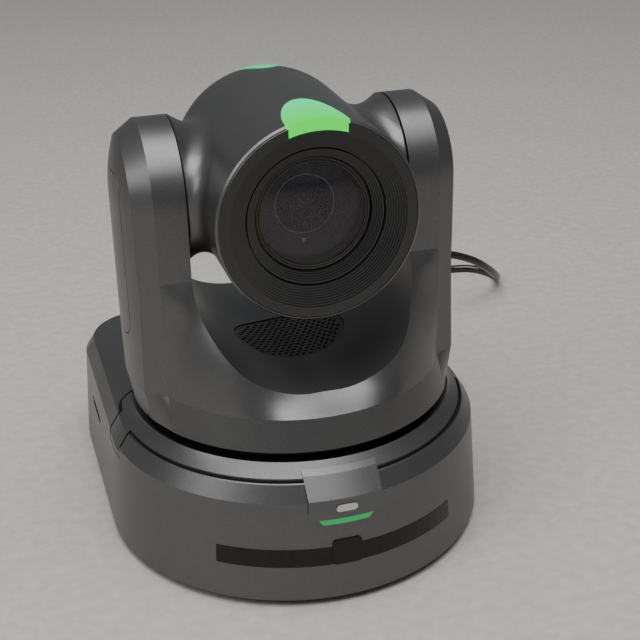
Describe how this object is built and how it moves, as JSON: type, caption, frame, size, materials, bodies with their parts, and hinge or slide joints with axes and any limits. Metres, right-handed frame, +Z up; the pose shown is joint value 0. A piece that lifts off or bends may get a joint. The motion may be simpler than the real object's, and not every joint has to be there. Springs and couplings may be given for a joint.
{
  "type": "ptz camera",
  "caption": "Pan-tilt-zoom camera: D-shaped base with sockets, a U yoke that pans on it, and a round head that tilts between the arms, with a network lead.",
  "frame": {"origin": "mouth of the tripod thread, on the pan axis, in the flat underside of the base", "axes": "+Z up along the pan axis, the lens looks along -Y at rest, +X to the right seen from the front of the lens looking back"},
  "size_m": [0.2796, 0.374, 0.199],
  "materials": {
    "housing": "satin gunmetal moulding with a fine metallic speckle",
    "dark_plastic": "matte black moulding",
    "grille": "matte dark grey, perforated",
    "rubber": "matte",
    "gloss_black": "polished, infrared-clear",
    "green_light": "lit green light guide",
    "badge": "plain silver plate",
    "steel": "plated",
    "socket_black": "moulded",
    "board": "green solder mask",
    "motor": "black can",
    "pulley": "machined",
    "hub": "machined",
    "belt": "matte",
    "lens_metal": "black anodised",
    "lens_glass": "coated",
    "lens_group": "coated lens in a black holder",
    "cord": "glossy black jacket",
    "plug": "black boot"
  },
  "bodies": {
    "base": {"base_housing": "housing", "front_cover": "housing", "bottom_plate": "dark_plastic", "rubber_feet": "rubber", "tripod_socket": "steel", "base_screws": "steel", "sensor_window": "gloss_black", "indicator_bar": "green_light", "tab_badge": "badge", "rear_panel": "dark_plastic", "rear_vent": "dark_plastic", "network_socket": "steel", "hdmi_socket": "steel", "usb_socket": "steel", "power_socket": "socket_black", "sdi_socket": "steel", "audio_socket": "socket_black", "serial_socket": "steel", "ground_screw": "steel", "main_board": "board", "pan_motor": "motor", "pan_belt": "belt", "pan_bearing": "steel", "network_plug": "plug", "network_lead": "cord", "network_lead_coil": "cord", "network_plug_far": "plug"},
    "yoke": {"yoke_front_shell": "housing", "yoke_rear_shell": "housing", "arm_cover_left": "housing", "arm_cover_right": "housing", "vent_grille": "grille", "turntable": "dark_plastic", "pan_hub": "hub", "pan_pulley": "pulley", "yoke_frame": "steel", "frame_posts": "steel", "driver_board": "board", "tilt_bearings": "steel", "tilt_motor": "motor", "tilt_belt": "belt"},
    "head": {"head_shell_upper": "housing", "head_shell_lower": "housing", "head_screws": "steel", "tally_light_front": "green_light", "tally_light_rear": "green_light", "front_bezel": "dark_plastic", "retaining_ring": "lens_metal", "front_lens": "lens_glass", "lens_barrel": "lens_metal", "lens_baffle": "lens_metal", "guide_rods": "steel", "sensor_board": "board", "head_frame": "steel", "tilt_axles": "steel", "tilt_pulley": "pulley"},
    "pan_drive": {"pan_motor_pulley": "pulley"},
    "tilt_drive": {"tilt_motor_pulley": "pulley"},
    "zoom": {"zoom_group": "lens_group"},
    "focus": {"focus_group": "lens_group"}
  },
  "joints": [
    {"name": "pan", "type": "hinge", "parent": "base", "child": "yoke", "pos_m": [0, 0, 0.06], "axis": [0, 0, 1], "range_deg": [-170, 170]},
    {"name": "tilt", "type": "hinge", "parent": "yoke", "child": "head", "pos_m": [0, 0.003, 0.154], "axis": [-1, 0, 0], "range_deg": [-30, 90]},
    {"name": "pan_motor_spin", "type": "hinge", "parent": "base", "child": "pan_drive", "pos_m": [-0.04, -0.04, 0.03], "axis": [0, 0, 1], "range_deg": [-830, 830]},
    {"name": "tilt_motor_spin", "type": "hinge", "parent": "yoke", "child": "tilt_drive", "pos_m": [-0.066, 0.003, 0.105], "axis": [-1, 0, 0], "range_deg": [-66, 196]},
    {"name": "zoom_travel", "type": "slide", "parent": "head", "child": "zoom", "axis": [0, 1, 0], "range_m": [0, 0.014]},
    {"name": "focus_travel", "type": "slide", "parent": "head", "child": "focus", "axis": [0, 1, 0], "range_m": [-0.004, 0.006]}
  ],
  "couplings": [
    {"joint": "pan_motor_spin", "follows": "pan", "ratio": 4.8571},
    {"joint": "tilt_motor_spin", "follows": "tilt", "ratio": 2.1667}
  ]
}
